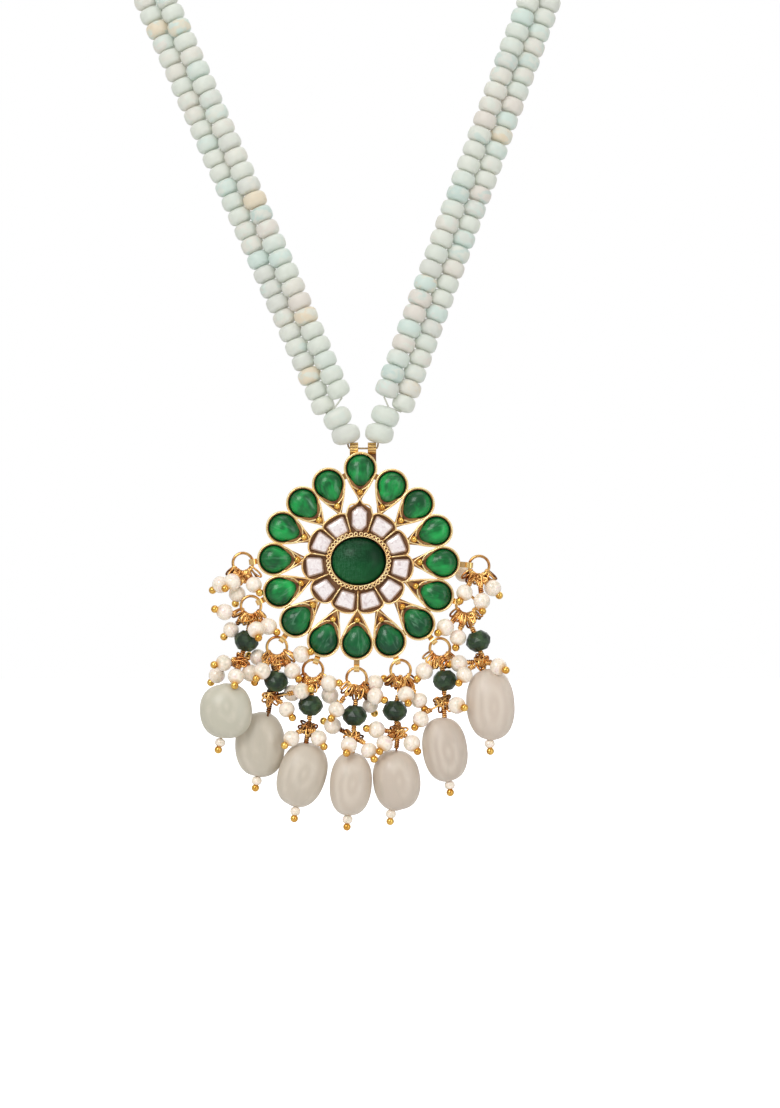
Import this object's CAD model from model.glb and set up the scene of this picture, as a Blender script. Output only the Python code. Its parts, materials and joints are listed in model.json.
"""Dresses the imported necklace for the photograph's view.

Tables are in millimetres in the pendant's own plane: x right, y up and z towards the viewer.
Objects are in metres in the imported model's frame: X right, Z up and -Y towards the viewer.
"""
import json
import math

import bpy
import numpy as np
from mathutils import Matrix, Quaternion, Vector

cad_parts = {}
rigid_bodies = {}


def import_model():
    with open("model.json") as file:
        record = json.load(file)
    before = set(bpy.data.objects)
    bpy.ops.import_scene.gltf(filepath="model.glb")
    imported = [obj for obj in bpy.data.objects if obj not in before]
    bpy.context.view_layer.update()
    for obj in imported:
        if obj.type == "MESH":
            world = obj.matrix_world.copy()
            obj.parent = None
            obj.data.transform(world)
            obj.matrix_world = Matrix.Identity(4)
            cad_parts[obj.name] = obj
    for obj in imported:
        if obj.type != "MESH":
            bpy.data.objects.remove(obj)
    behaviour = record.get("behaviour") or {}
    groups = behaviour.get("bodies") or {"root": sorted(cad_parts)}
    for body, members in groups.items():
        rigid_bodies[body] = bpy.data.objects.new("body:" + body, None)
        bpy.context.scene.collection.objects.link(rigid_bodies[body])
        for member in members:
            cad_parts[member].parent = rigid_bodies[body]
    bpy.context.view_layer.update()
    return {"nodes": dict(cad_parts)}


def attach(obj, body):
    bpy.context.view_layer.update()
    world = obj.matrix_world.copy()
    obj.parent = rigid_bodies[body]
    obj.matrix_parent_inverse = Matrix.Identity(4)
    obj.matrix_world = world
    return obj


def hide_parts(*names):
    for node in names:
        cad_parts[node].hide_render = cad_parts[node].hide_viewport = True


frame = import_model()
NODES = frame["nodes"]
MM = 0.001
rng = np.random.default_rng(4146)
scene = bpy.context.scene

# Sizes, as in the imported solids

# The middle of the flower in the model, and its turn in degrees
PENDANT_AT = np.array([3.4, -85, -182.25])
PENDANT_TURN = 1.2
# Across and thickness of the strand beads and of the larger ones that join two strands
BEAD_D, BEAD_T = 5.75, 3.9
GATHER_D, GATHER_T = 7.2, 4.1
GATHER_TILT = {"left": (-14, -28), "right": (10, 22)}
# How much wider and thicker these beads are drawn than their solids, as they are squarer
BEAD_WIDER, BEAD_THICKER, GATHER_THICKER = 1.03, 1.06, 1.2
# Heights over the setting's middle plane
FLOOR_Z, RIM_Z = -0.2, 1.4
CENTRE_H, PEAR_H = 4.0, 2.9
STONE_GAP = 0.08
STONE_FOOT = FLOOR_Z + STONE_GAP
# Half width of the strips along all edges, and the height behind the setting where they start
STRIP_HALF, STRIP_FOOT = 0.19, -0.9
# The pears, each with its own distance from the middle
PEAR_R, TIP_RATIO = 3.6, 1.5
PEAR_AT = [23.1, 20.6, 20.6, 20.8, 21.2, 21.5, 21.7, 21.5, 20.6, 21.7, 21.7, 21.2, 21.15, 20.7, 20.1, 20.55]
PEARS = len(PEAR_AT)
# The small cells round the collar, each with its own distance, and the ring on which they meet
PETAL_R, PETAL_JOIN = 3.2, 12.0
PETAL_AT = [10.9, 10.1, 10.2, 10.7, 10.7, 10.2, 10.3, 11.2, 11.1, 10.2, 9.7]
CELLS = len(PETAL_AT)
# The right half of the top cell's outer wall, below its peak
CROWN_PEAK = 4.9
CROWN = [(0.35, 4.25), (0.8, 3.65), (1.3, 3.32), (1.75, 3.35),
         (2.3, 3.2), (2.8, 2.75), (3.1, 2.05), (3.3, 1.1)]
COLLAR_HALF = np.array([8.05, 7.2])
COLLAR_WALL = 1.05
COLLAR_LINKS = 42
# The fringe: jump rings, wires, pearls, ball ends, and faceted beads drawn a little over their size
RING_R, RING_WIRE, RING_Z = 2.5, 0.36, 0.2
HUB_DROP = RING_R + 0.9
WIRE_R, COIL_R, COIL_PITCH = 0.26, 0.44, 0.53
RING_LOOPS, HUB_LOOPS, KNOT_LOOPS = 10, 6, 11
PEARL_R, BALL_R, PIN_DROOP = 1.95, 0.9, 0.9
GREEN_D, GREEN_T, GREEN_VISIBLE = 5.9, 4.5, 1.08

# Middle of each drop's jump ring
RINGS = [[-28.9, -0.5], [-26.9, -11.25], [-20.4, -21.5], [-11.4, -27.2], [-0.5, -29.25],
         [10.5, -27.25], [20.3, -21.8], [26.9, -11], [30.1, -1.25]]
# Green bead, wrapped knot below it, tumbled bead and foot of each long drop
HANGING = [
    [[-28, -20, 0], [-29.6, -25, 0.3], [-33.1, -37.3, 2.8], [-34.9, -47, 2.6]],
    [[-20.6, -30, 0], [-21.9, -34, -0.4], [-24.9, -46, -2.8], [-25.9, -56.9, -2.8]],
    [[-12, -36, 0.2], [-12.6, -42, -0.3], [-14.3, -53.4, -1], [-16.1, -64.4, -0.8]],
    [[-1, -38.6, 0], [-1.3, -43.8, 0], [-2, -55.7, 0.2], [-2.9, -66.4, 0.2]],
    [[9.1, -37.4, 0], [9.8, -42.8, 0], [9.6, -54.8, -0.6], [7.9, -65.1, -0.6]],
    [[21.6, -29.8, 0], [21.2, -35.4, 0], [21.7, -47, 0.4], [22.9, -57.8, 0.4]],
    [[29.9, -20, 0], [30.9, -25.2, 0], [33.1, -35.8, 0.2], [32.9, -47.5, 0.2]],
]
# Width, height, depth and lean of each tumbled bead
TUMBLED = [[12.6, 13.6, 9.4, 5], [12.2, 16.2, 9, 0], [12.2, 16.4, 9.6, -18], [10.9, 15.8, 9.4, -4],
           [11.9, 15.1, 9.6, 6], [10.9, 16, 9.4, 8], [11.8, 17.6, 9.8, 4]]
# Places of the pearls that hang from each ring, and from the knot under each green bead
UPPER = [
    [[-34.5, -5.9, -1.2], [-31.5, -5.2, 1.7], [-30.4, -8.2, -1.2], [-26.1, -5.9, 1.4]],
    [[-33.4, -12.7, 1.4], [-31.9, -17.2, -1], [-25.4, -17.1, 4], [-22.5, -16.3, 0.7]],
    [[-14.2, -23.2, 2.2], [-16.5, -27.4, 1], [-24, -27.4, 3.2], [-25.2, -24.1, -1.6]],
    [[-7.4, -30.5, 0.6], [-7.2, -33.6, -2.2]],
    [[-5.5, -37, 2.6], [4.1, -30.5, -1.2], [4.2, -33.7, 1.4], [2.9, -36.2, -3.2]],
    [[11.8, -33.2, 3.2], [15.2, -34.8, 0.6]],
    [[16.4, -27.5, 0.6]],
    [[21.6, -16.5, 3.4], [24.8, -19.1, 1.8]],
    [[26.2, -3.2, -3.2], [26.4, -7.9, 3.2], [30.7, -10, 2.7], [33.5, -6.7, -0.4]],
]
LOWER = [
    [[-33.6, -25.4, 2], [-35.6, -28.7, -3.2], [-30.4, -28.7, 4.6], [-27, -28, 0.4]],
    [[-16.6, -33, -1.2], [-14.2, -32.4, 2.2], [-17.9, -37, 1.4]],
    [[-9.9, -44.2, 1.4], [-16.7, -44.2, 1.8]],
    [[-6.5, -41.2, -1.2], [-2.4, -45.8, 3.4], [2.6, -47.2, 1.8]],
    [[4.5, -42.1, 0.8], [6.5, -45.4, 3], [13.3, -45.4, 2]],
    [[15.5, -39.4, 2.6], [24.5, -35.9, 3.2]],
    [[25.1, -25.6, 0], [26.4, -28.4, 2.6], [34.8, -26.2, 3.4]],
]

# Nodes


class Graph:
    """Adds nodes to one tree. Inputs are given by socket name or number, as values or links."""

    def __init__(self, tree):
        self.tree = tree

    def node(self, kind, settings=None, inputs=None):
        made = self.tree.nodes.new(kind)
        for key, value in (settings or {}).items():
            setattr(made, key, value)
        for key, value in (inputs or {}).items():
            self.feed(made.inputs[key], value)
        return made

    def feed(self, socket, value):
        value = getattr(value, "socket", value)
        if isinstance(value, bpy.types.NodeSocket):
            self.tree.links.new(value, socket)
        else:
            socket.default_value = value

    def ramp(self, factor, stops, interpolation="LINEAR"):
        made = self.node("ShaderNodeValToRGB", inputs={0: factor})
        made.color_ramp.interpolation = interpolation
        elements = made.color_ramp.elements
        while len(elements) < len(stops):
            elements.new(0.5)
        for element, (at, colour) in zip(elements, stops):
            element.position = at
            element.color = (*colour, 1)
        return made.outputs["Color"]


class Number:
    """A number's socket with Python's operators."""

    def __init__(self, graph, socket):
        self.graph, self.socket = graph, socket

    def math(self, operation, *others):
        terms = dict(enumerate((self, *others)))
        made = self.graph.node("ShaderNodeMath", {"operation": operation}, terms)
        return Number(self.graph, made.outputs[0])

    def __add__(self, other):
        return self.math("ADD", other)

    def __mul__(self, other):
        return self.math("MULTIPLY", other)

    def __sub__(self, other):
        return self.math("SUBTRACT", other)

    def __rsub__(self, other):
        return self * -1 + other

    def __pow__(self, other):
        return self.math("POWER", other)

    __radd__, __rmul__ = __add__, __mul__

    def sin(self):
        return self.math("SINE")

    def size(self):
        return self.math("ABSOLUTE")

    def step(self, low, high):
        """0 below low and 1 above high, smooth between; low may be the larger."""
        made = self.graph.node("ShaderNodeMapRange", {"interpolation_type": "SMOOTHSTEP"},
                               {"Value": self, "From Min": low, "From Max": high})
        return Number(self.graph, made.outputs["Result"])


class Material(Graph):
    """A principled material whose varying parts are painted by the calls below."""

    def __init__(self, name, **constants):
        self.data = bpy.data.materials.new(name)
        self.data.use_nodes = True
        super().__init__(self.data.node_tree)
        self.shader = self.tree.nodes["Principled BSDF"]
        for key, value in constants.items():
            self.set(key, value)

    def set(self, key, value):
        self.feed(self.shader.inputs[key.replace("_", " ")], value)

    def place(self):
        return self.node("ShaderNodeTexCoord").outputs["Object"]

    def attribute(self, name, output="Fac"):
        made = self.node("ShaderNodeAttribute", {"attribute_name": name}).outputs[output]
        return Number(self, made) if output == "Fac" else made

    def parts(self, vector):
        made = self.node("ShaderNodeSeparateXYZ", inputs={0: vector})
        return [Number(self, out) for out in made.outputs]

    def scaled(self, vector, by):
        made = self.node("ShaderNodeVectorMath", {"operation": "MULTIPLY"}, {0: vector, 1: by})
        return made.outputs[0]

    def shifted(self, vector, amount):
        """A vector moved far off by an amount, so that each bead shows another part of a pattern."""
        far = self.node("ShaderNodeCombineXYZ", inputs={"X": amount, "Y": amount * 1.7, "Z": amount * 0.6})
        made = self.node("ShaderNodeVectorMath", {"operation": "ADD"}, {0: vector, 1: far.outputs[0]})
        return made.outputs[0]

    def noise(self, scale, vector, detail=3.0, distortion=0.0):
        made = self.node("ShaderNodeTexNoise", inputs={
            "Vector": vector, "Scale": scale, "Detail": detail, "Roughness": 0.55, "Distortion": distortion})
        return Number(self, made.outputs["Fac"])

    def mix(self, factor, a, b):
        def four(c):
            return (*c, 1) if isinstance(c, tuple) and len(c) == 3 else c
        made = self.node("ShaderNodeMix", {"data_type": "RGBA"}, {0: factor, 6: four(a), 7: four(b)})
        return made.outputs[2]

    def bump(self, height, distance, strength):
        given = {"Height": height, "Distance": distance, "Strength": strength}
        self.set("Normal", self.node("ShaderNodeBump", inputs=given).outputs[0])

    def lit(self, colour, strength):
        """A little light of its own, which stands for what shines through or is mirrored."""
        self.set("Emission Color", colour)
        self.set("Emission Strength", strength)


def rgb(r, g, b):
    """Linear values of a colour given as 0 to 255 on a screen."""
    return tuple(((c / 255 + 0.055) / 1.055) ** 2.4 if c > 10 else c / 3295 for c in (r, g, b))


# Materials

BLACK = (0.0, 0.0, 0.0)


def gold(name, bright, deep, dark, rough, glow=0.0, sunk=0.0):
    """Gold with dull patches and dark grime; sunk darkens the wires that lie behind the others."""
    m = Material(name, Metallic=1.0)
    here = m.place()
    wear = m.noise(420, here, detail=3)
    grime = m.noise(900, here, detail=2)
    colour = m.ramp(wear, [(0.35, deep), (0.6, bright)])
    colour = m.mix(grime.step(0.6, 0.72) * 0.5, colour, dark)
    if sunk:
        rise = m.parts(here)[1] * -1000 + PENDANT_AT[1] - RING_Z
        colour = m.mix(rise.step(0.5, -0.5) * sunk, colour, dark)
    m.set("Base Color", colour)
    m.lit(colour, glow)
    m.set("Roughness", wear * 0.16 + rough)
    return m


def setting_gold():
    """Pale gold, with dark bronze on the floor of the cells and lines engraved on the bails."""
    bail_foot, strap_foot, strap_top = (-0.1572, -0.1566), (0.0247, 0.025), (-0.172, -0.174)
    floor_rise, rim_rise, collar_rise = (0.9, 0.2), (1.3, 1.38), (1.6, 1.75)
    m = Material("setting_gold")
    here = m.place()
    across, depth, height = m.parts(here)
    _, facing, _ = m.parts(m.node("ShaderNodeTexCoord").outputs["Normal"])
    rise = depth * -1000 + PENDANT_AT[1]
    wear = m.noise(300, here, detail=4)
    colour = m.ramp(wear, [(0.3, rgb(222, 168, 92)), (0.6, rgb(252, 212, 138))])
    on_bail = height.step(*bail_foot)
    front = facing.step(-0.5, -0.9)
    pit = rise.step(*floor_rise) * front
    spread = ((across - PENDANT_AT[0] * MM) ** 2 + (height - PENDANT_AT[2] * MM) ** 2) ** 0.5
    on_strap = spread.step(*strap_foot) * height.step(*strap_top)
    colour = m.mix(on_strap, colour, rgb(255, 216, 144))
    top = rise.step(*rim_rise) * front * (1 - on_bail) * (1 - on_strap)
    colour = m.mix(pit, colour, rgb(128, 92, 62))
    colour = m.mix(top * 0.85, colour, rgb(142, 88, 46))
    colour = m.mix(rise.step(*collar_rise), colour, rgb(120, 66, 40))
    m.set("Metallic", 1 - pit * 0.7 - top * 0.6)
    lines = (height * 9000 + m.noise(700, here) * 3).sin()
    colour = m.mix(on_bail * lines.step(-0.3, -0.9) * 0.8, colour, rgb(120, 62, 20))
    m.set("Base Color", colour)
    m.set("Roughness", wear * 0.15 + 0.16 + pit * 0.35)
    m.bump(m.noise(2200, here, detail=2) * 0.4 + on_bail * lines, 0.00007, 0.5)
    return m


def frosted_bead():
    """Each bead has its own tint; some turn to a second tint across their width."""
    m = Material("frosted_bead", Roughness=0.5, Coat_Weight=0.08, Coat_Roughness=0.3,
                 Subsurface_Weight=0.8, Subsurface_Radius=(1.0, 1.0, 0.95), Subsurface_Scale=0.004)
    grain = m.shifted(m.attribute("grain", "Vector"), m.attribute("tint") * 40)
    tints = [(0.0, rgb(210, 215, 205)), (0.2, rgb(213, 216, 206)), (0.38, rgb(207, 215, 206)),
             (0.52, rgb(201, 215, 207)), (0.62, rgb(215, 213, 203)), (0.74, rgb(215, 209, 200)),
             (0.84, rgb(208, 210, 202)), (0.93, rgb(192, 207, 200)), (0.97, rgb(218, 206, 184))]
    first = m.ramp(m.attribute("tint"), tints, "CONSTANT")
    other = m.ramp(m.attribute("other"), tints, "CONSTANT")
    cloud = m.noise(0.9, grain, detail=2, distortion=0.4)
    colour = m.mix(cloud.step(0.46, 0.62) * 0.75, first, other)
    veins = m.noise(2.6, grain, detail=4, distortion=1.2)
    colour = m.mix(veins.step(0.55, 0.75) * 0.3, colour, rgb(208, 210, 198))
    m.set("Base Color", m.mix(0.07, colour, BLACK))
    m.lit(colour, 0.09)
    m.bump(m.noise(7, grain, detail=3), 0.00008, 0.3)
    return m


def pear_green():
    """Emerald cabochon on foil: dark edge, bright glow to one side, streaks and a milky sheen."""
    m = Material("pear_green", Roughness=0.3, Specular_IOR_Level=0.25, Coat_Weight=0.3, Coat_Roughness=0.1)
    grain = m.attribute("grain", "Vector")
    x, y, rim = m.parts(grain)
    tint = m.attribute("tint")
    moved = m.shifted(grain, tint * 23)
    streaks = m.noise(2.2, m.scaled(moved, (3.2, 0.5, 0)), detail=3, distortion=0.6)
    cloud = m.noise(0.9, moved, detail=2, distortion=0.5)
    slope = (x * (tint - 0.5) * 1.4 - y * 0.16) * 0.5
    glow = (cloud * 1.2 + streaks * 0.32 - 0.33 + slope).step(0.15, 0.85)
    colour = m.mix(glow * rim.step(1.0, 0.7), rgb(6, 76, 36), rgb(24, 178, 82))
    low = m.parts(m.place())[2].step(-0.185, -0.205)
    colour = m.mix(low * 0.75, colour, rgb(4, 66, 40))
    drawn = m.scaled(m.shifted(grain, tint * 61), (2.4, 0.6, 0))
    milk = m.noise(1.5, drawn, detail=4, distortion=1.0).step(0.52, 0.8)
    colour = m.mix(milk * rim.step(1.0, 0.5) * 0.6, colour, rgb(118, 170, 136))
    m.set("Base Color", m.mix(rim.step(0.94, 1.0) * 0.8, colour, rgb(3, 30, 16)))
    return m


def centre_green():
    """The dark centre stone with fine crossed lines under its polish."""
    m = Material("centre_green", Roughness=0.4, Specular_IOR_Level=0.12,
                 Coat_Weight=0.08, Coat_Roughness=0.15)
    grain = m.attribute("grain", "Vector")
    x, y, rim = m.parts(grain)
    down = m.noise(6, m.scaled(grain, (3.0, 0.4, 0)), detail=3)
    over = m.noise(6, m.scaled(grain, (0.5, 2.6, 0)), detail=3)
    scratches = (down - 0.5).size().step(0.06, 0.0) + (over - 0.5).size().step(0.05, 0.0)
    patch = m.noise(1.1, grain, detail=2).step(0.4, 0.65)
    glow = (x * -0.25 - y * 0.5 + 0.42 + patch * 0.3).step(0.0, 1.1)
    colour = m.mix(glow, rgb(3, 46, 22), rgb(18, 92, 46))
    colour = m.mix(scratches * (x * -0.5 + 0.5).step(0.1, 1.0) * 0.3, colour, rgb(76, 132, 98))
    m.set("Base Color", m.mix(rim.step(0.9, 1.0) * 0.8, colour, rgb(3, 26, 16)))
    return m


def clear_stone():
    """Clear flat-cut stone on silver foil: milky lilac white with a few grey specks."""
    m = Material("clear_stone", Roughness=0.12, Coat_Weight=0.7, Coat_Roughness=0.04)
    grain = m.shifted(m.attribute("grain", "Vector"), m.attribute("tint") * 17)
    rim = m.attribute("rim")
    broken = m.noise(1.4, grain, detail=2, distortion=1.5)
    whites = [(0.35, rgb(254, 248, 247)), (0.55, rgb(242, 232, 232)), (0.7, rgb(222, 206, 206))]
    colour = m.ramp(broken, whites)
    colour = m.mix(rim.step(0.7, 0.95) * 0.55, colour, rgb(204, 182, 178))
    specks = m.noise(5, grain, detail=3, distortion=1.5).step(0.62, 0.7)
    colour = m.mix(specks * (rim.step(0.5, 0.15) * 0.8 + 0.15), colour, rgb(74, 82, 92))
    m.set("Base Color", m.mix(rim.step(0.93, 1.0) * 0.5, colour, rgb(150, 122, 112)))
    m.bump(broken, 0.0002, 0.3)
    return m


def pearl():
    """Cream and rose pearl with faint clouds and a warm patch where its ball end sits."""
    m = Material("pearl", Roughness=0.22, Coat_Weight=0.9, Coat_Roughness=0.08,
                 Subsurface_Weight=0.15, Subsurface_Radius=(1.0, 0.8, 0.7), Subsurface_Scale=0.0008)
    ball = m.attribute("grain", "Vector")
    grain = m.shifted(ball, m.attribute("tint") * 31)
    hue = m.noise(1.2, grain, detail=2, distortion=0.7)
    colour = m.ramp(hue, [(0.3, rgb(220, 214, 194)), (0.45, rgb(247, 232, 212)),
                          (0.58, rgb(252, 240, 226)), (0.72, rgb(238, 214, 206))])
    cloud = m.noise(3.2, grain, detail=4).step(0.52, 0.7)
    colour = m.mix(cloud * 0.4, colour, rgb(208, 186, 172))
    _, _, along = m.parts(ball)
    colour = m.mix(along.step(0.6, 0.9) * 0.75, colour, rgb(220, 180, 126))
    m.set("Base Color", colour)
    m.lit(colour, 0.05)
    m.bump(m.noise(4, grain, detail=3), 0.00012, 0.3)
    return m


def green_facets():
    """Very dark green stone with paler clouds."""
    m = Material("green_facets", Roughness=0.35, Specular_IOR_Level=0.3,
                 Coat_Weight=0.2, Coat_Roughness=0.15)
    here = m.place()
    cloud = m.noise(380, here, detail=4, distortion=0.8)
    greens = [(0.32, rgb(16, 34, 20)), (0.5, rgb(34, 56, 34)), (0.68, rgb(58, 84, 52))]
    m.set("Base Color", m.ramp(cloud, greens))
    m.bump(m.noise(1500, here, detail=3), 0.00006, 0.4)
    return m


def tumbled_stone():
    """Satin stone with faint oval bands; its tint runs from grey-green to pink-beige."""
    m = Material("tumbled_stone", Roughness=0.36, Coat_Weight=0.12, Coat_Roughness=0.3,
                 Subsurface_Weight=0.35, Subsurface_Radius=(1.0, 0.92, 0.8), Subsurface_Scale=0.003)
    grain = m.attribute("grain", "Vector")
    x, y, _ = m.parts(grain)
    tint = m.attribute("tint")
    moved = m.shifted(grain, tint * 9)
    base = m.ramp(tint, [(0.0, rgb(200, 196, 178)), (0.17, rgb(201, 192, 175)), (0.5, rgb(209, 195, 179)),
                         (0.83, rgb(204, 189, 174)), (1.0, rgb(212, 197, 182))])
    warp = m.noise(1.1, moved, detail=2) * 0.5
    oval = ((x - 0.1) ** 2 * 1.7 + (y + tint * 0.3 - 0.2) ** 2 * 0.8) ** 0.5 + warp * 0.6
    bands = (oval * 13).sin() * 0.5 + 0.5
    soft = m.noise(0.8, moved, detail=3, distortion=0.6)
    colour = m.mix(bands * soft.step(0.35, 0.6) * 0.34, base, rgb(234, 224, 209))
    grey = m.noise(1.6, m.scaled(moved, (2.0, 0.5, 1.0)), detail=4, distortion=1.0)
    colour = m.mix(grey.step(0.5, 0.72) * 0.22, colour, rgb(184, 178, 162))
    m.set("Base Color", m.mix(0.12, colour, BLACK))
    m.lit(colour, 0.1)
    m.bump(m.noise(3.5, moved, detail=4), 0.0001, 0.25)
    return m


def thread_material():
    """Pale thread, dark where it passes through the bails."""
    m = Material("thread", Roughness=0.7)
    here = m.place()
    low = m.parts(here)[2].step(-0.1515, -0.1535)
    twist = m.noise(1500, here)
    dark = m.ramp(twist, [(0.3, rgb(134, 108, 74)), (0.7, rgb(196, 172, 134))])
    m.set("Base Color", m.mix(low, rgb(206, 206, 194), dark))
    return m


FINISH = {
    "setting": setting_gold(),
    "thread": thread_material(),
    "pale_gold": gold("pale_gold", rgb(255, 232, 176), rgb(255, 214, 146), rgb(232, 170, 104),
                      rough=0.2, glow=0.08),
    "wire_gold": gold("wire_gold", rgb(250, 202, 126), rgb(182, 112, 56), rgb(92, 42, 20),
                      rough=0.06, sunk=0.85),
    "ball_gold": gold("ball_gold", rgb(250, 206, 110), rgb(214, 150, 62), rgb(110, 60, 20), rough=0.12),
    "bronze": Material("bronze", Roughness=0.5, Metallic=0.25, Base_Color=(*rgb(104, 58, 30), 1)),
    "frosted_bead": frosted_bead(),
    "pear_green": pear_green(),
    "centre_green": centre_green(),
    "clear_stone": clear_stone(),
    "pearl": pearl(),
    "green_facets": green_facets(),
    "tumbled_stone": tumbled_stone(),
}

# Meshes


def world_of(points):
    """Points of the pendant's plane, in millimetres, as points of the model, in metres."""
    p = np.asarray(points, float).reshape(-1, 3)
    return (PENDANT_AT + np.c_[p[:, 0], -p[:, 2], p[:, 1]]) * MM


def way_of(direction):
    """A direction of the pendant's plane as one of the model."""
    x, y, z = direction
    return Vector((x, -z, y)).normalized()


def unit(v):
    v = np.asarray(v, float)
    return v / np.linalg.norm(v)


def volume(points, faces):
    """Six times the room inside a closed mesh, below zero where it is inside out."""
    total = 0.0
    for face in faces:
        a = points[face[0]]
        for b, c in zip(face[1:-1], face[2:]):
            total += np.dot(a, np.cross(points[b], points[c]))
    return total


def mesh_of(name, points, faces=(), edges=(), smooth=True, **attributes):
    """A mesh in metres, with its faces turned outwards and an attribute for each further argument."""
    points = np.asarray(points, float)
    if len(faces) and volume(points, faces) < 0:
        faces = [tuple(reversed(face)) for face in faces]
    data = bpy.data.meshes.new(name)
    data.from_pydata(points.tolist(), list(edges), list(faces))
    if smooth and len(faces):
        data.shade_smooth()
    for key, values in attributes.items():
        values = np.asarray(values, np.float32)
        kind, field = ("FLOAT_VECTOR", "vector") if values.ndim == 2 else ("FLOAT", "value")
        data.attributes.new(key, kind, "POINT").data.foreach_set(field, values.ravel())
    return data


def globe(sides, rings):
    """Longitude and latitude of the points of a closed ball in radians, and its faces."""
    lat = np.linspace(-math.pi / 2, math.pi / 2, rings + 2)[1:-1]
    lon = np.linspace(0, 2 * math.pi, sides, endpoint=False)
    a = np.r_[0, np.tile(lon, rings), 0]
    b = np.r_[-math.pi / 2, np.repeat(lat, sides), math.pi / 2]
    top = len(a) - 1
    faces = []
    for i in range(sides):
        j = (i + 1) % sides
        faces.append((0, 1 + j, 1 + i))
        faces.append((top, top - sides + i, top - sides + j))
        for r in range(rings - 1):
            low = 1 + r * sides
            faces.append((low + i, low + j, low + sides + j, low + sides + i))
    return a, b, faces


def rounded(v, power):
    """A power that keeps the sign; below 1 it squares a circle's sine and cosine."""
    return np.sign(v) * np.abs(v) ** power


def lathe(name, sides, rings, radius, half, blunt=1.0, **extra):
    """A ball of the given radius and half height, blunt below 1 to square its profile."""
    a, b, faces = globe(sides, rings)
    waist = rounded(np.cos(b), blunt)
    ball = np.c_[np.cos(a) * waist, np.sin(a) * waist, rounded(np.sin(b), blunt)]
    return mesh_of(name, ball * [radius, radius, half] * MM, faces, grain=ball, **extra)


def ring_mesh(name, radius, wire, sides, turns):
    """A ring of round wire about +Z."""
    a = np.repeat(np.linspace(0, 2 * math.pi, sides, endpoint=False), turns)
    b = np.tile(np.linspace(0, 2 * math.pi, turns, endpoint=False), sides)
    r = radius + wire * np.cos(b)
    points = np.c_[r * np.cos(a), r * np.sin(a), wire * np.sin(b)] * MM
    faces = []
    for i in range(sides):
        for j in range(turns):
            k, n = (i + 1) % sides, (j + 1) % turns
            faces.append((i * turns + j, k * turns + j, k * turns + n, i * turns + n))
    return mesh_of(name, points, faces)


# Geometry nodes


class Tree(Graph):
    """A geometry tree with named inputs; ids holds each one's identifier."""

    def __init__(self, name, inputs):
        group = bpy.data.node_groups.new(name, "GeometryNodeTree")
        super().__init__(group)
        self.ids = {}
        group.interface.new_socket("Geometry", in_out="INPUT", socket_type="NodeSocketGeometry")
        for key, kind in inputs.items():
            self.ids[key] = group.interface.new_socket(key, in_out="INPUT", socket_type=kind).identifier
        group.interface.new_socket("Geometry", in_out="OUTPUT", socket_type="NodeSocketGeometry")
        self.given = self.node("NodeGroupInput").outputs

    def end(self, geometry, smooth=False):
        """Every tree ends in Realize Instances and Set Material."""
        real = self.node("GeometryNodeRealizeInstances", inputs={0: geometry}).outputs[0]
        if smooth:
            shaded = self.node("GeometryNodeSetShadeSmooth", inputs={"Geometry": real, "Shade Smooth": True})
            real = shaded.outputs[0]
        given = {"Geometry": real, "Material": self.given["Surface"]}
        dressed = self.node("GeometryNodeSetMaterial", inputs=given)
        self.node("NodeGroupOutput", inputs={0: dressed.outputs[0]})
        return self


def scatter_tree():
    """Puts a shape on each point, turned and sized by the point's own attributes."""
    tree = Tree("scatter", {"Shape": "NodeSocketObject", "Surface": "NodeSocketMaterial"})

    def own(name):
        made = tree.node("GeometryNodeInputNamedAttribute", {"data_type": "FLOAT_VECTOR"}, {"Name": name})
        return made.outputs[0]

    shape = tree.node("GeometryNodeObjectInfo", inputs={"Object": tree.given["Shape"]}).outputs["Geometry"]
    rotation = tree.node("FunctionNodeEulerToRotation", inputs={0: own("turn")}).outputs[0]
    placed = tree.node("GeometryNodeInstanceOnPoints", inputs={
        "Points": tree.given["Geometry"], "Instance": shape, "Rotation": rotation, "Scale": own("size")})
    return tree.end(placed.outputs[0])


def tube_tree():
    """Draws a round wire along every run of edges."""
    tree = Tree("tubes", {"Radius": "NodeSocketFloat", "Sides": "NodeSocketInt",
                          "Surface": "NodeSocketMaterial"})
    path = tree.node("GeometryNodeMeshToCurve", inputs={"Mesh": tree.given["Geometry"]})
    section = tree.node("GeometryNodeCurvePrimitiveCircle", inputs={
        "Resolution": tree.given["Sides"], "Radius": tree.given["Radius"]})
    tube = tree.node("GeometryNodeCurveToMesh", inputs={
        "Curve": path.outputs[0], "Profile Curve": section.outputs[0], "Fill Caps": True})
    return tree.end(tube.outputs[0], smooth=True)


SCATTER, TUBES = scatter_tree(), tube_tree()


def linked(name, data):
    made = bpy.data.objects.new(name, data)
    scene.collection.objects.link(made)
    return made


def grown(name, tree, carrier, finish, **values):
    """The plain mesh that a tree makes of a carrier mesh."""
    seed = linked(name + "_seed", carrier)
    modifier = seed.modifiers.new("grow", "NODES")
    modifier.node_group = tree.tree
    modifier[tree.ids["Surface"]] = FINISH[finish].data
    for key, value in values.items():
        modifier[tree.ids[key]] = value
    graph = bpy.context.evaluated_depsgraph_get()
    grown_up = seed.evaluated_get(graph)
    data = bpy.data.meshes.new_from_object(grown_up, preserve_all_data_layers=True, depsgraph=graph)
    seed.modifiers.clear()
    bpy.data.objects.remove(seed)
    data.name = name
    return data


def piece(name, data, finish, body, *replaced):
    """A finished piece: its material, body, slot and the nodes that it stands for."""
    data.materials.clear()
    data.materials.append(FINISH[finish].data)
    for polygon in data.polygons:
        polygon.material_index = 0
    made = linked(name, data)
    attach(made, body)
    if replaced:
        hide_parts(*replaced)


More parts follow.
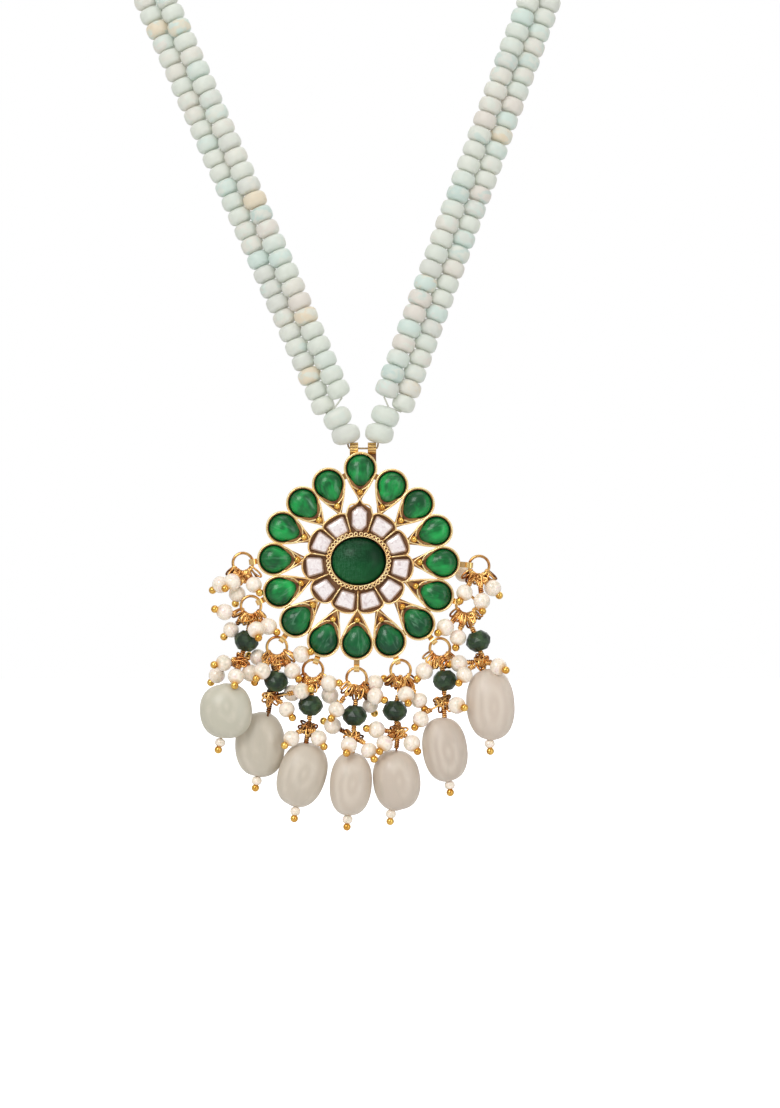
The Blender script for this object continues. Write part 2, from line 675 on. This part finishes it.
def scatter(name, shape, points, turns, sizes, finish, body, *replaced, **attributes):
    """One piece made of a shape on each point."""
    carrier = mesh_of(name, points, turn=turns, size=sizes, **attributes)
    holder = linked(name + "_shape", shape)
    data = grown(name, SCATTER, carrier, finish, Shape=holder)
    bpy.data.objects.remove(holder)
    piece(name, data, finish, body, *replaced)


def aim(direction, spin=0.0):
    """Euler angles that turn +Z to a direction of the model, after a spin about it."""
    turn = Vector(direction).to_track_quat("Z", "Y") @ Quaternion((0, 0, 1), spin)
    return tuple(turn.to_euler())


def tubes(name, paths, radius, finish, *replaced, sides):
    """One piece of round wires along paths; a path is (points in the pendant's plane, closed)."""
    points, edges = [], []
    for path, closed in paths:
        first = len(points)
        points.extend(world_of(path))
        edges.extend((first + i, first + i + 1) for i in range(len(path) - 1))
        if closed:
            edges.append((first + len(path) - 1, first))
    carrier = mesh_of(name, points, edges=edges)
    data = grown(name, TUBES, carrier, finish, Radius=radius * MM, Sides=sides)
    piece(name, data, finish, "pendant", *replaced)


# Bead strands


def islands(node):
    """Middle of each loose solid of a node, in metres."""
    data = NODES[node].data
    co = np.zeros(len(data.vertices) * 3)
    data.vertices.foreach_get("co", co)
    co = co.reshape(-1, 3)
    rounded_off = np.round(co * 1e7).astype(np.int64)
    _, first, merged = np.unique(rounded_off, axis=0, return_index=True, return_inverse=True)
    merged = merged.ravel()
    edges = np.zeros(len(data.edges) * 2, np.int64)
    data.edges.foreach_get("vertices", edges)
    edges = merged[edges.reshape(-1, 2)]
    label = np.arange(len(first))
    while True:
        low = np.minimum(label[edges[:, 0]], label[edges[:, 1]])
        before = label.copy()
        np.minimum.at(label, edges[:, 0], low)
        np.minimum.at(label, edges[:, 1], low)
        label = label[label]
        if (label == before).all():
            break
    points = co[first]
    return [(points[label == i].min(0) + points[label == i].max(0)) / 2 for i in np.unique(label)]


def in_order(centres):
    """The beads of a strand from its lowest one upwards, each the nearest to the last."""
    left = sorted(map(tuple, centres), key=lambda c: c[2])
    chain = [np.array(left.pop(0))]
    while left:
        near = min(range(len(left)), key=lambda i: np.linalg.norm(chain[-1] - left[i]))
        chain.append(np.array(left.pop(near)))
    return chain


def strand(node):
    """The frosted beads of one strand, each a little uneven, at the places of its solids."""
    chain = in_order(islands(node))
    turns, sizes = [], []
    for i, middle in enumerate(chain):
        way = chain[min(i + 1, len(chain) - 1)] - chain[max(i - 1, 0)]
        way = unit(way) + rng.normal(0, 0.03, 3)
        turns.append(aim(way, rng.uniform(0, math.tau)))
        wide = rng.uniform(0.975, 1.03)
        sizes.append((wide, wide, rng.uniform(0.97, 1.0)))
    count = len(chain)
    shape = lathe("rondelle", 24, 9, BEAD_D / 2 * BEAD_WIDER, BEAD_T / 2 * BEAD_THICKER, 0.62)
    scatter(node.replace("strand", "beads"), shape, chain, turns, sizes, "frosted_bead", "necklace", node,
            tint=rng.uniform(0, 1, count), other=rng.uniform(0, 1, count))


def gather(side):
    """The two larger beads of a side, tilted as in the photograph."""
    node = "gather_beads_" + side
    chain = in_order(islands(node))
    turns = []
    for angle in GATHER_TILT[side]:
        tilt = math.radians(angle)
        turns.append(aim((math.sin(tilt), 0, math.cos(tilt)), rng.uniform(0, math.tau)))
    shape = lathe("joining_rondelle", 32, 11, GATHER_D / 2, GATHER_T / 2 * GATHER_THICKER, 0.74)
    tints = {"left": (0.92, 0.28), "right": (0.05, 0.15)}[side]
    scatter("joining_beads_" + side, shape, chain, turns, [(1, 1, 1)] * 2, "frosted_bead", "necklace", node,
            tint=tints, other=(0.3, 0.4))


for side in ("left", "right"):
    strand(f"strand_{side}_outer")
    strand(f"strand_{side}_inner")
    gather(side)

# Setting


def drop_outline(radius, bulge, blunt, around=34, ratio=TIP_RATIO):
    """A pear about the middle of its round end, tip down, with flanks that bulge and a blunt tip."""
    open_angle = math.degrees(math.acos(1 / ratio))
    sweep = np.radians(np.linspace(180 - open_angle, open_angle - 180, around))
    arc = np.c_[np.sin(sweep), np.cos(sweep)] * radius
    tip = np.array([0, -ratio * radius])
    flank = []
    # t is the share of the way from the round end to the tip
    for t in (0.17, 0.34, 0.51, 0.68, 0.83, 0.93):
        out = np.array([-1, -0.5]) * bulge * radius * t * (1 - t)
        along = arc[-1] * (1 - t) + tip * [1, 1 - (1 - blunt) * t] * t
        flank.append(along + out * [-np.sign(arc[-1][0]), 1])
    return np.array([*arc, *flank, tip * blunt, *[p * [-1, 1] for p in flank[::-1]]])


def spun_out(flat, angle, distance):
    """Flat points moved out from the flower's middle and turned clockwise, both about that middle."""
    x, y = np.asarray(flat)[:, 0], np.asarray(flat)[:, 1] + distance
    c, s = math.cos(math.radians(angle)), math.sin(math.radians(angle))
    return np.c_[x * c + y * s, y * c - x * s]


def pear_place(k, flat):
    """Flat points about the middle of pear k, in the pendant's plane."""
    return spun_out(flat, 360 / PEARS * k + PENDANT_TURN, PEAR_AT[k])


def petal_place(k, flat):
    """Flat points about the stone of small cell k, in the pendant's plane."""
    return spun_out(flat, 360 / CELLS * k + PENDANT_TURN, PETAL_AT[k])


def oval(half, n=96, z=0.0):
    a = np.linspace(0, 2 * math.pi, n, endpoint=False)
    flat = np.c_[rounded(np.cos(a), 0.94) * half[0], rounded(np.sin(a), 0.94) * half[1]]
    return np.c_[flat, np.full(n, z)]


def arch(k, inset=0.12):
    """The outer wall of small cell k between its neighbours; the top one has shoulders and a point."""
    half = math.pi / CELLS
    wide, low = PETAL_JOIN * math.sin(half) - inset * 0.3, PETAL_JOIN * math.cos(half) - PETAL_AT[k]
    if k:
        t = np.radians(np.arange(-90, 91, 7.5))
        return petal_place(k, np.c_[wide * np.sin(t), low + (PETAL_R - inset - low) * np.cos(t)])
    right = [(0, CROWN_PEAK - inset)]
    right += [(x - inset * min(1, x), y - inset * 0.5) for x, y in CROWN] + [(wide, low)]
    return petal_place(k, [(-x, y) for x, y in right[:0:-1]] + right)


def bands(name, paths, half, low, high):
    """Upright strips with rounded tops along flat paths; a path is (points, closed)."""
    shoulder, brow = high - half, high - 0.3 * half
    across = [(-1, low), (1, low), (1, shoulder), (0.6, brow), (0, high), (-0.6, brow), (-1, shoulder)]
    count = len(across)
    points, faces = [], []
    for flat, closed in paths:
        flat = np.asarray(flat)
        along = np.roll(flat, -1, 0) - np.roll(flat, 1, 0) if closed else np.gradient(flat, axis=0)
        side = np.c_[-along[:, 1], along[:, 0]] / np.linalg.norm(along, axis=1)[:, None]
        first = len(points)
        for at, out in zip(flat, side):
            points.extend((*(at + out * half * a), z) for a, z in across)
        rows = len(flat)
        for i in range(rows if closed else rows - 1):
            here, there = first + i * count, first + (i + 1) % rows * count
            for j in range(count):
                n = (j + 1) % count
                faces.append((here + j, here + n, there + n, there + j))
        if not closed:
            last = first + (rows - 1) * count
            faces += [tuple(range(first + count - 1, first - 1, -1)), tuple(range(last, last + count))]
    piece(name, mesh_of(name, world_of(points), faces), "pale_gold", "pendant")


ARCHES = [arch(k) for k in range(CELLS)]
WALL = np.vstack([path[:-1] for path in ARCHES])
WALL_ANGLE = np.degrees(np.arctan2(WALL[:, 0], WALL[:, 1])) - PENDANT_TURN


def frame_outline(k):
    """The open frame round pear k; its tip meets the ring of small cells."""
    off = np.abs((WALL_ANGLE - 360 / PEARS * k + 180) % 360 - 180)
    reach = np.linalg.norm(WALL[np.argsort(off)[:2]], axis=1).mean()
    radius = PEAR_R + 0.4
    return pear_place(k, drop_outline(radius, bulge=0.2, blunt=0.99, ratio=(PEAR_AT[k] - reach) / radius))


def tip_plates(frames):
    """Dark plates that fill the narrow tip of each frame."""
    low, high = -0.7, 1.1
    # In a frame's outline: all of both flanks but their first point, and the tip between them
    tip_part = slice(35, 46)
    points, faces = [], []
    for flat in frames:
        flat = flat[tip_part]
        first, n = len(points), len(flat)
        points += [(*p, z) for z in (low, high) for p in flat]
        faces += [tuple(range(first, first + n)), tuple(range(first + 2 * n - 1, first + n - 1, -1))]
        for i in range(n):
            j = (i + 1) % n
            faces.append((first + j, first + i, first + n + i, first + n + j))
    data = mesh_of("tip_plates", world_of(points), faces, smooth=False)
    piece("tip_plates", data, "bronze", "pendant")


def pear_edges():
    """A bezel close round each pear, an open frame round that, and the plate at its tip."""
    bezels = [pear_place(k, drop_outline(PEAR_R + 0.33, bulge=0.5, blunt=0.92)) for k in range(PEARS)]
    frames = [frame_outline(k) for k in range(PEARS)]
    bands("pear_bezels", [(flat, True) for flat in bezels], STRIP_HALF, 0.2, RIM_Z + 0.14)
    bands("pear_frames", [(flat, True) for flat in frames], STRIP_HALF, STRIP_FOOT, RIM_Z + 0.08)
    tip_plates(frames)


def cell_edges():
    """The scalloped wall of the small cells and the straight walls between them."""
    bands("scalloped_wall", [(WALL, True)], STRIP_HALF, STRIP_FOOT, RIM_Z + 0.14)
    dividers = []
    for k in range(CELLS):
        outer = (ARCHES[k][-1] + ARCHES[(k + 1) % CELLS][0]) / 2
        way = outer / np.linalg.norm(outer)
        dividers.append(([way * r for r in np.linspace(7.6, PETAL_JOIN, 4)], False))
    bands("cell_dividers", dividers, 0.17, 0, RIM_Z + 0.1)


def collar_edges():
    """A fine lip round the centre stone and the chain of flat rings on the collar."""
    lip = RIM_Z + 0.4
    tubes("collar_lip", [(oval(COLLAR_HALF - COLLAR_WALL + 0.02, z=lip), True)], 0.1, "pale_gold", sides=8)
    links = oval(COLLAR_HALF - 0.48, COLLAR_LINKS, lip + 0.04)
    scatter("collar_links", ring_mesh("link", 0.41, 0.15, 18, 6), world_of(links),
            [aim((0, -1, 0))] * COLLAR_LINKS, [(1, 1, 1)] * COLLAR_LINKS, "pale_gold", "pendant")


def granules():
    """The gold ball at the tip of each pear."""
    tip = np.array([[0, -TIP_RATIO * PEAR_R - 0.45]])
    flat = np.vstack([pear_place(k, tip) for k in range(PEARS)])
    middles = world_of(np.c_[flat, np.full(PEARS, RIM_Z + 0.15)])
    scatter("granules", lathe("granule", 20, 11, 0.8, 0.8), middles,
            [aim((0, -1, 0))] * PEARS, [(1, 1, 1)] * PEARS, "ball_gold", "pendant")


pear_edges()
cell_edges()
collar_edges()
granules()
for node, finish in {"pendant_setting": "setting", "clasp": "pale_gold",
                     "thread_outer": "thread", "thread_inner": "thread"}.items():
    NODES[node].material_slots[0].material = FINISH[finish].data

# Stones


def dome(outline, height, rings=12, power=2.4):
    """A domed stone on an outline about its middle; grain holds x, y and the share of the way to the edge."""
    n = len(outline)
    shares = np.linspace(0, 1, rings + 1)[1:] ** 0.7
    points, grain = [(0, 0, STONE_FOOT + height)], [(0, 0, 0)]
    reach = np.abs(outline).max()
    for share in shares:
        z = STONE_FOOT + height * max(1 - share ** power, 0) ** 0.5
        points.extend((*(p * share), z) for p in outline)
        grain.extend((*(p * share / reach), share) for p in outline)
    points.append((0, 0, STONE_FOOT))
    grain.append((0, 0, 1))
    last = len(points) - 1
    faces = []
    for i in range(n):
        j = (i + 1) % n
        faces.append((0, 1 + i, 1 + j))
        for r in range(rings - 1):
            low = 1 + r * n
            faces.append((low + i, low + n + i, low + n + j, low + j))
        edge = 1 + (rings - 1) * n
        faces.append((edge + i, last, edge + j))
    return np.array(points), faces, np.array(grain)


def pear_cabochon(k):
    points, faces, grain = dome(drop_outline(PEAR_R, bulge=0.55, blunt=0.9, around=40), PEAR_H)
    placed = np.c_[pear_place(k, points), points[:, 2]]
    data = mesh_of(f"pear_cabochon_{k + 1:02d}", world_of(placed), faces, grain=grain,
                   tint=np.full(len(points), rng.uniform(0, 1)))
    piece(data.name, data, "pear_green", "pendant", f"pear_stone_{k + 1:02d}")


def oval_cabochon():
    half = COLLAR_HALF - COLLAR_WALL - 2 * STONE_GAP
    points, faces, grain = dome(oval(half, 72)[:, :2], CENTRE_H, rings=20, power=2.0)
    data = mesh_of("oval_cabochon", world_of(points), faces, grain=grain)
    piece("oval_cabochon", data, "centre_green", "pendant", "centre_stone")


def flat_cut(k):
    """Points, faces, grain and rim of a flat-cut stone with a girdle, bevels and a table."""
    foot, top, y, corner, shift = (1.95, 1.95, 3.1, 1.3, -0.35) if k == 0 else (1.95, 2.55, 2.15, 0.4, -0.1)
    base = np.array([[foot, corner - y], [top, y - corner], [top - corner, y], [corner - top, y],
                     [-top, y - corner], [-foot, corner - y], [corner - foot, -y], [foot - corner, -y]])
    # Size of each level as a share of the girdle, its height over the foot, and its rim value
    levels = [(1.0, 0.0, 1.0), (1.0, 0.35, 1.0), (0.82, 1.0, 0.82), (0.5, 1.2, 0.52)]
    n, top_level = len(base), len(levels) - 1
    flat = np.vstack([base * scale for scale, _, _ in levels])
    height = np.repeat([STONE_FOOT + z for _, z, _ in levels], n)
    points = np.c_[petal_place(k, flat + [0, shift]), height]
    faces = [tuple(range(n - 1, -1, -1)), tuple(range(top_level * n, top_level * n + n))]
    for level in range(top_level):
        for i in range(n):
            a, b = level * n + i, level * n + (i + 1) % n
            faces.append((a, b, b + n, a + n))
    return points, faces, np.c_[flat / 2, height], np.repeat([rim for _, _, rim in levels], n)


def flat_cut_stones():
    """All the clear stones as one piece, each with its own tint."""
    points, faces, grain, rim, tint = [], [], [], [], []
    for k in range(CELLS):
        p, f, g, r = flat_cut(k)
        faces.extend(tuple(i + len(points) for i in face) for face in f)
        points.extend(p)
        grain.extend(g)
        rim.extend(r)
        tint.extend([rng.uniform(0, 1)] * len(p))
    data = mesh_of("flat_cut_stones", world_of(points), faces, smooth=False, grain=grain, rim=rim, tint=tint)
    piece("flat_cut_stones", data, "clear_stone", "pendant", "kundan_stones")


for k in range(PEARS):
    pear_cabochon(k)
oval_cabochon()
flat_cut_stones()

# Fringe


def frame_about(way):
    """Two directions square to a way."""
    side = np.cross(way, [0, 0, 1]) if abs(way[2]) < 0.9 else np.cross(way, [0, 1, 0])
    side = unit(side)
    return side, np.cross(way, side)


def circle(a, way):
    """Points of a unit circle square to a way, at angles a."""
    u, v = frame_about(unit(way))
    return np.outer(np.cos(a), u) + np.outer(np.sin(a), v)


def jump_ring(middle):
    a = np.linspace(0, 2 * math.pi, 48, endpoint=False)
    return middle + RING_R * circle(a, [0, 0, 1])


def helix(start, way, height, turns, spin):
    """A coil about a way, with 14 points a turn."""
    a = np.linspace(0, turns * 2 * math.pi, int(turns * 14)) + spin
    return start + COIL_R * circle(a, way) + np.outer(np.linspace(0, height, len(a)), unit(way))


def pin_of(hub, at):
    """The pin's way through a pearl, the point where it enters and its end."""
    straight = unit(at - hub)
    way = unit(straight + [0, PIN_DROOP * min(0, straight[1]), 0])
    return way, at - (PEARL_R + 0.2) * way, at + (PEARL_R + 0.6) * way


def link(middle, way, half_length, half_width=0.52):
    """A long loop of wire along a way, turned a random amount towards the viewer."""
    along = unit(way)
    flat, deep = frame_about(along)
    tilt = rng.uniform(-1.0, 1.0)
    across = math.cos(tilt) * flat + math.sin(tilt) * deep
    a = np.linspace(0, 2 * math.pi, 20, endpoint=False)
    length = np.outer(half_length * rounded(np.cos(a), 0.8), along)
    return middle + length + half_width * np.outer(np.sin(a), across), True


def coiled(paths, start, end, turns=3.0):
    """A wire from start to end, neatly wrapped just before its end."""
    way = unit(end - start)
    reach = np.linalg.norm(end - start)
    paths.append(([start, end], False))
    neck = min(COIL_PITCH * turns, reach)
    paths.append((helix(end - neck * way, way, neck, turns, rng.uniform(0, 6)), False))


class Drop:
    """One drop of the fringe: its wires, and the place and way of its pearls and gold balls."""

    def __init__(self, k):
        self.middle = np.array([*RINGS[k], RING_Z])
        self.hub = self.middle - [0, HUB_DROP, 0]
        self.paths, self.pearls, self.balls, self.seeds = [], [], [], []

    def pearl(self, at, hub, start):
        """A pearl on its pin, with a wire from start that wraps the pin's head."""
        way, head, end = pin_of(hub, at)
        self.paths.append(([head, end], False))
        coiled(self.paths, start, head)
        self.pearls.append((at, way))
        self.balls.append((end, way))

    def pearl_from_ring(self, at):
        """A pearl that hangs from the jump ring by a long loop."""
        aside = math.degrees(math.atan2(at[0] - self.middle[0], self.middle[1] - at[1]))
        angle = math.radians(np.clip(aside, -62, 62) + rng.uniform(-6, 6))
        out = np.array([math.sin(angle), -math.cos(angle), 0])
        start = self.middle + RING_R * out + [0, 0, np.clip(at[2] * 0.2, -0.4, 0.5)]
        gap = pin_of(self.hub, at)[1] - start
        reach = min(2.4, np.linalg.norm(gap))
        way = unit(gap + out)
        self.paths.append(link(start + way * (reach / 2 - 0.1), way, reach / 2 + 0.45))
        self.pearl(at, self.hub, start + way * reach * 0.7)

    def tangle(self):
        """Loops that lie about the hub, and loops that hang side by side from the jump ring."""
        for _ in range(HUB_LOOPS):
            way = [rng.uniform(-1, 1), rng.uniform(-1, 1), rng.uniform(-0.3, 0.3)]
            spread = rng.normal(0, 0.55, 3) * [1.4, 0.7, 0.8]
            self.paths.append(link(self.hub + spread, way, rng.uniform(1.2, 1.8), 0.5))
        for angle in np.linspace(-60, 60, RING_LOOPS):
            turn = math.radians(angle + rng.uniform(-5, 5))
            out = np.array([math.sin(turn), -math.cos(turn), 0])
            lean = unit([out[0] * 0.7, out[1], rng.uniform(-0.3, 0.3)])
            long = rng.uniform(1.3, 1.9)
            self.paths.append(link(self.middle + RING_R * out + lean * (long - 0.5), lean, long))

    def long_part(self, k):
        """The wires above and below the green bead, the knot, its pearls and the tumbled bead's foot."""
        green, low, _, foot = map(np.array, HANGING[k - 1])
        top = self.middle - [0, RING_R + 0.25, 0]
        for end in (top, low):
            coiled(self.paths, end, green + unit(end - green) * GREEN_T * 0.5)
        tail = unit(foot - low)
        coiled(self.paths, low, low + 4.0 * tail, 5.0)
        self.paths.append(([low + 0.5 * tail, foot], False))
        for turn in np.linspace(0, math.pi, KNOT_LOOPS, endpoint=False):
            spread = rng.normal(0, 0.55, 3)
            way = [math.cos(turn), 0.6 * math.sin(turn), rng.uniform(-0.3, 0.3)]
            self.paths.append(link(low + spread, way, rng.uniform(1.3, 1.9), 0.6))
        for at in map(np.array, LOWER[k - 1]):
            self.pearl(at, low, low + 0.35 * unit(at - low))
        self.seeds.append((foot - 1.85 * tail, tail))
        self.balls.append((foot, tail))


def strung(name, shape, places, turns, sizes, finish, *replaced, **attributes):
    """Beads at places that are (point, way)."""
    points = world_of([at for at, _ in places])
    scatter(name, shape, points, turns, sizes, finish, "pendant", *replaced, **attributes)


def pearl_drop(k):
    """Drop k as pieces; the outermost two end at their jump rings' pearls, the others are long."""
    drop = Drop(k)
    for at in map(np.array, UPPER[k]):
        drop.pearl_from_ring(at)
    drop.tangle()
    if 0 < k < len(RINGS) - 1:
        drop.long_part(k)
    name, node = f"drop_{k + 1}", f"pearl_drop_{k + 1}"
    tubes(name + "_wires", drop.paths, WIRE_R, "wire_gold", node, sides=8)
    tubes(name + "_jump_ring", [(jump_ring(drop.middle), True)], RING_WIRE, "wire_gold", sides=12)
    count = len(drop.pearls)
    sizes = [(w, w, w * rng.uniform(0.93, 1.03)) for w in rng.uniform(1.03, 1.13, count)]
    turns = [aim(way_of(way), rng.uniform(0, 6)) for _, way in drop.pearls]
    strung(name + "_pearls", lathe("pearl", 24, 14, PEARL_R, PEARL_R), drop.pearls, turns, sizes,
           "pearl", node, tint=rng.uniform(0, 1, count))
    turns = [aim(way_of(way)) for _, way in drop.balls]
    strung(name + "_balls", lathe("ball", 20, 12, BALL_R, BALL_R), drop.balls, turns,
           [(1.08, 1.08, 1.08)] * len(turns), "ball_gold")
    if drop.seeds:
        turns = [aim(way_of(way)) for _, way in drop.seeds]
        strung(name + "_seed_pearl", lathe("seed", 20, 11, 1.3, 1.1, 0.85), drop.seeds, turns,
               [(1, 1, 1)], "pearl", tint=[rng.uniform(0, 1)])


for k in range(len(RINGS)):
    pearl_drop(k)


def green_rondelle(k):
    """A rondelle of two belts of facets between flat ends."""
    hub = np.array([*RINGS[k], RING_Z]) - [0, HUB_DROP, 0]
    green, low, _, _ = map(np.array, HANGING[k - 1])
    way = unit(unit(green - hub) + unit(low - green))
    sides = 11
    # Height and reach of each belt's corners as shares of the bead, and their turn in sides
    levels = [(-0.5, 0.5, 0), (-0.26, 0.86, 0.5), (-0.02, 1.0, 0),
              (0.02, 1.0, 0), (0.26, 0.86, 0.5), (0.5, 0.5, 0)]
    points = [(0, 0, -0.5 * GREEN_T)]
    for z, reach, shift in levels:
        for i in range(sides):
            a = math.tau * (i + shift) / sides
            r = reach * (1 + rng.uniform(-0.02, 0.02)) * GREEN_D / 2
            points.append((r * math.cos(a), r * math.sin(a), z * GREEN_T))
    points.append((0, 0, 0.5 * GREEN_T))
    last = len(points) - 1
    faces = []
    for i in range(sides):
        j = (i + 1) % sides
        faces.append((0, 1 + j, 1 + i))
        faces.append((last, last - sides + i, last - sides + j))
        for level in range(5):
            a, b = 1 + level * sides, 1 + (level + 1) * sides
            shift, next_shift = levels[level][2], levels[level + 1][2]
            if next_shift > shift:
                faces += [(a + i, a + j, b + i), (a + j, b + j, b + i)]
            elif next_shift < shift:
                faces += [(a + i, b + j, b + i), (a + i, a + j, b + j)]
            else:
                faces.append((a + i, a + j, b + j, b + i))
    turn = Vector(way_of(way)).to_track_quat("Z", "Y") @ Quaternion((0, 0, 1), rng.uniform(0, 6))
    points = np.array(points) * GREEN_VISIBLE
    spun = np.array([turn @ Vector(p) for p in points]) * MM + world_of([green])
    data = mesh_of(f"green_rondelle_{k}", spun, faces, smooth=False)
    piece(data.name, data, "green_facets", "pendant", f"green_bead_{k}")


def tumbled(k):
    """A smooth pebble on the same rule as its solid."""
    wide, tall, deep, lean = TUMBLED[k - 1]
    a, b, faces = globe(48, 31)
    d = np.degrees(a)
    swell = 1 + 0.035 * np.sin(np.radians(2 * d + 70 * k)) + 0.03 * np.sin(np.radians(3 * d + 40 * k))
    x = wide / 2 * swell * rounded(np.cos(a), 0.9) * rounded(np.cos(b), 0.82)
    y = tall / 2 * rounded(np.sin(b), 0.9) * (1 + 0.02 * np.sin(np.radians(d + 50 * k)))
    z = deep / 2 * rounded(np.sin(a), 0.9) * rounded(np.cos(b), 0.82)
    c, s = math.cos(math.radians(lean)), math.sin(math.radians(lean))
    placed = np.c_[x * c - y * s, x * s + y * c, z] + np.array(HANGING[k - 1][2])
    grain = np.c_[2 * x / wide, 2 * y / tall, 2 * z / deep]
    data = mesh_of(f"tumbled_stone_{k}", world_of(placed), faces, grain=grain,
                   tint=np.full(len(x), (k - 1) / 6))
    piece(data.name, data, "tumbled_stone", "pendant", f"tumbled_bead_{k}")


for k in range(1, len(RINGS) - 1):
    green_rondelle(k)
    tumbled(k)

# Stage, light and camera


def stage_floor():
    """A plain floor that shows white."""
    m = Material("floor", Roughness=0.9, Base_Color=(0.8, 0.8, 0.8, 1), Emission_Color=(1, 1, 1, 1))
    m.set("Emission Strength", m.node("ShaderNodeLightPath").outputs["Is Camera Ray"])
    half, height = 6, -0.46
    corners = [(-half, -half, height), (half, -half, height), (half, half, height), (-half, half, height)]
    data = mesh_of("floor", corners, [(0, 1, 2, 3)])
    data.materials.append(m.data)
    linked("floor", data)


def studio_world():
    """White behind the object and bright all round, with a dark patch where the camera stands."""
    world = bpy.data.worlds.new("studio")
    scene.world = world
    world.use_nodes = True
    g = Graph(world.node_tree)
    back = world.node_tree.nodes["Background"]
    direction = g.node("ShaderNodeTexCoord").outputs["Generated"]
    depth = g.node("ShaderNodeSeparateXYZ", inputs={0: direction}).outputs["Y"]
    stops = [(0.0, 0.45), (0.08, 0.5), (0.2, 0.85), (0.4, 0.4), (0.6, 0.7)]
    greys = g.ramp(Number(g, depth) * 0.5 + 0.5, [(at, (value,) * 3) for at, value in stops])
    seen = g.node("ShaderNodeLightPath").outputs["Is Camera Ray"]
    colour = g.node("ShaderNodeMix", {"data_type": "RGBA"}, {0: seen, 6: greys, 7: (1, 1, 1, 1)})
    g.feed(back.inputs["Color"], colour.outputs[2])


def softbox(name, at, size, power):
    """A soft light that faces the pendant."""
    data = bpy.data.lights.new(name, "AREA")
    data.shape = "RECTANGLE"
    data.size, data.size_y = size
    data.energy = power
    made = linked(name, data)
    made.location = at
    target = Vector((0.005, -0.085, -0.19))
    made.rotation_euler = (target - Vector(at)).to_track_quat("-Z", "Y").to_euler()


def camera():
    """Straight from the front, level, with the photograph's framing."""
    data = bpy.data.cameras.new("camera")
    data.lens = 100
    data.sensor_width = 36
    made = linked("camera", data)
    made.location = (0.01125, -0.854, -0.1805)
    made.rotation_euler = (math.radians(90), 0, 0)
    scene.camera = made


stage_floor()
studio_world()
softbox("key", (-0.4, -0.9, 0.3), (0.45, 0.45), 3.8)
softbox("fill", (0.75, -0.8, -0.05), (0.35, 0.8), 1.5)
softbox("top", (0.1, -0.2, 0.7), (0.6, 0.4), 1.2)
softbox("back", (0.2, 0.7, 0.2), (0.7, 0.7), 1.0)
camera()
scene.view_settings.view_transform = "Standard"
